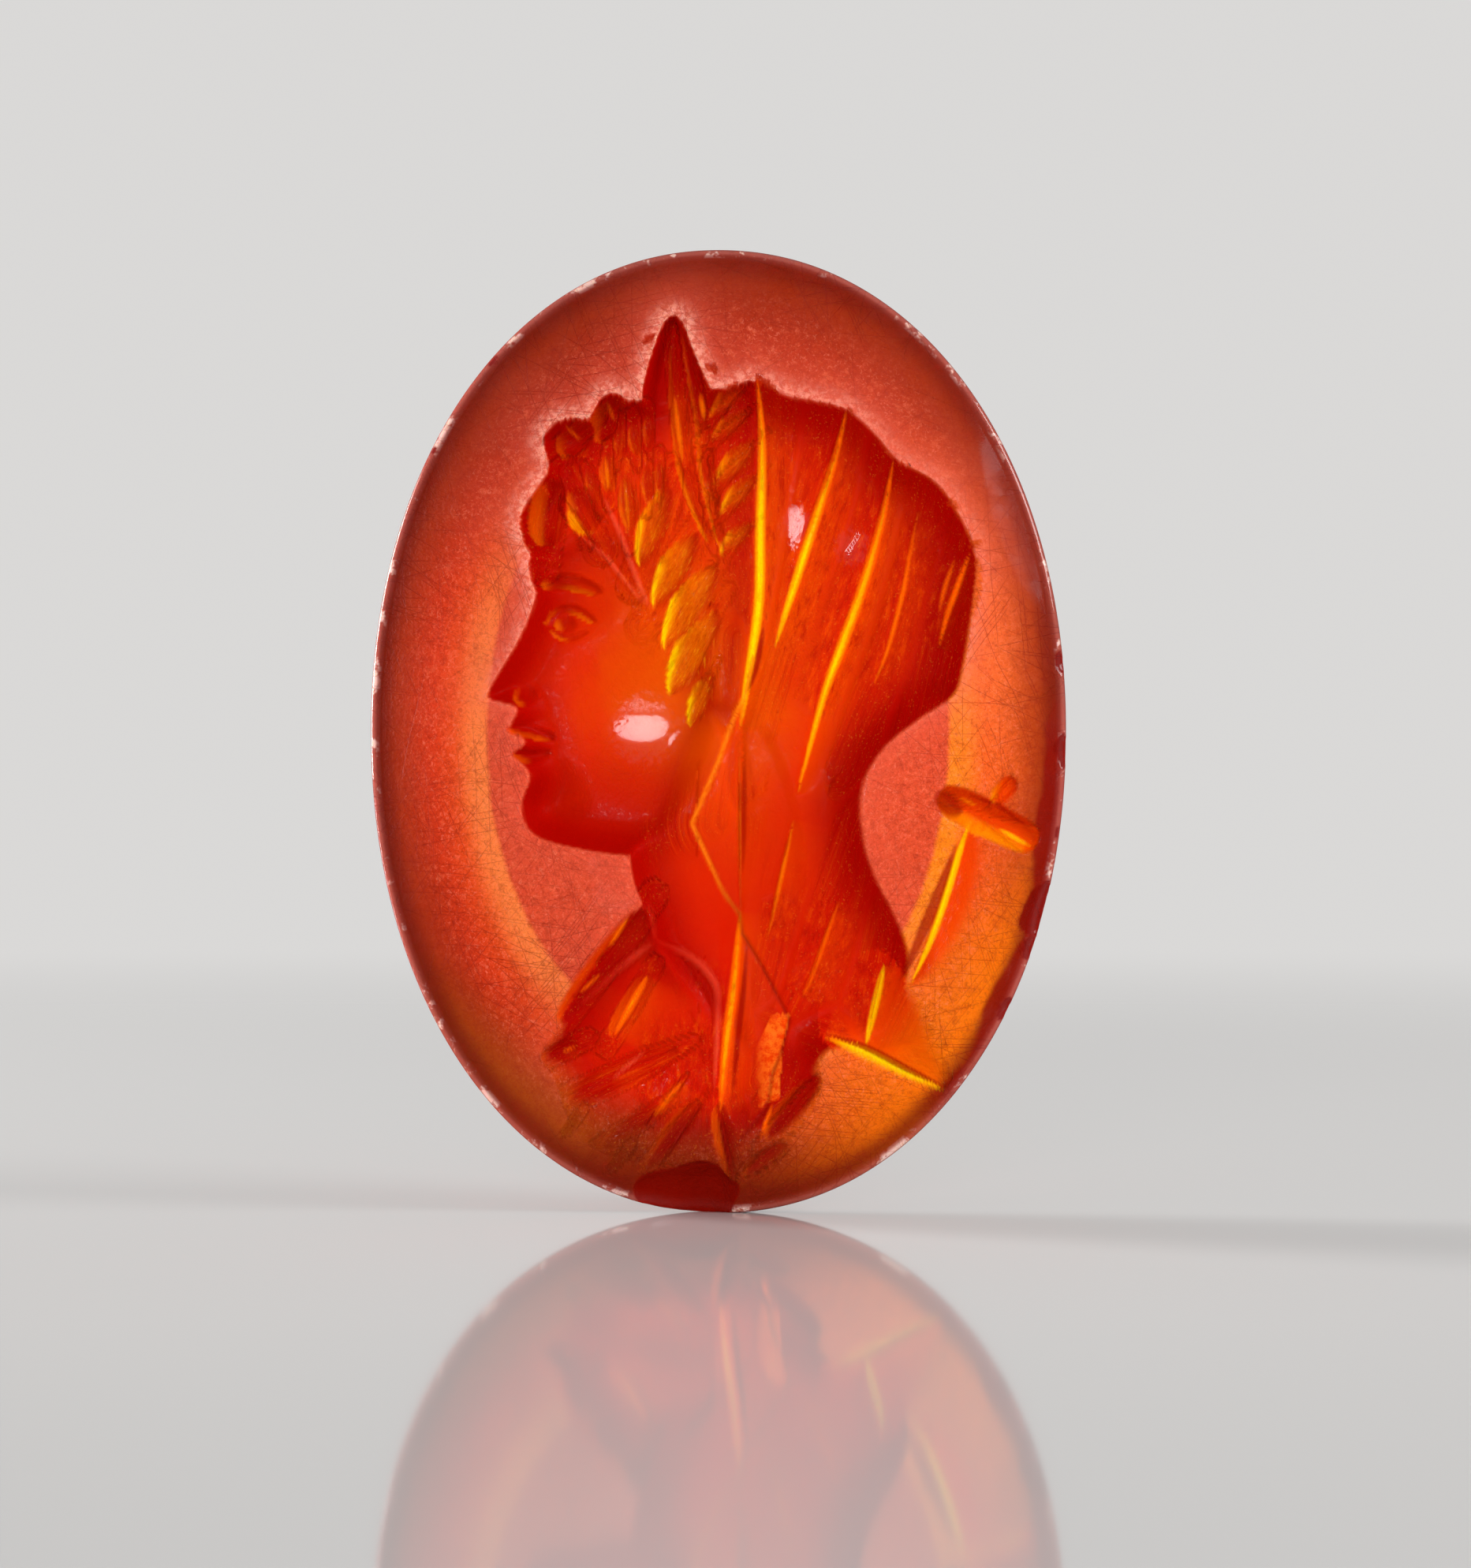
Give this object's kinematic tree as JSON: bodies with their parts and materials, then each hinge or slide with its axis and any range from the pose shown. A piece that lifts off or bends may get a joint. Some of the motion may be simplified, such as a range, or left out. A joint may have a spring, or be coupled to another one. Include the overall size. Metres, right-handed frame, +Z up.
{
  "type": "intaglio ringstone",
  "caption": "Oval domed carnelian ringstone with a veiled bust in profile cut into its front, bevelled sides and a flat back that seats in a ring's bezel.",
  "frame": {"origin": "centre of the flat back face", "axes": "+Z up along the long axis of the oval, +X to the right as seen from the engraved side, +Y out of the flat back; the engraved face looks towards -Y"},
  "size_m": [0.0166, 0.0051, 0.023],
  "materials": {
    "carnelian": "translucent red-orange carnelian, polished and glossy, with fine old scratches"
  },
  "bodies": {
    "root": {"engraved_stone": "carnelian"}
  },
  "joints": []
}
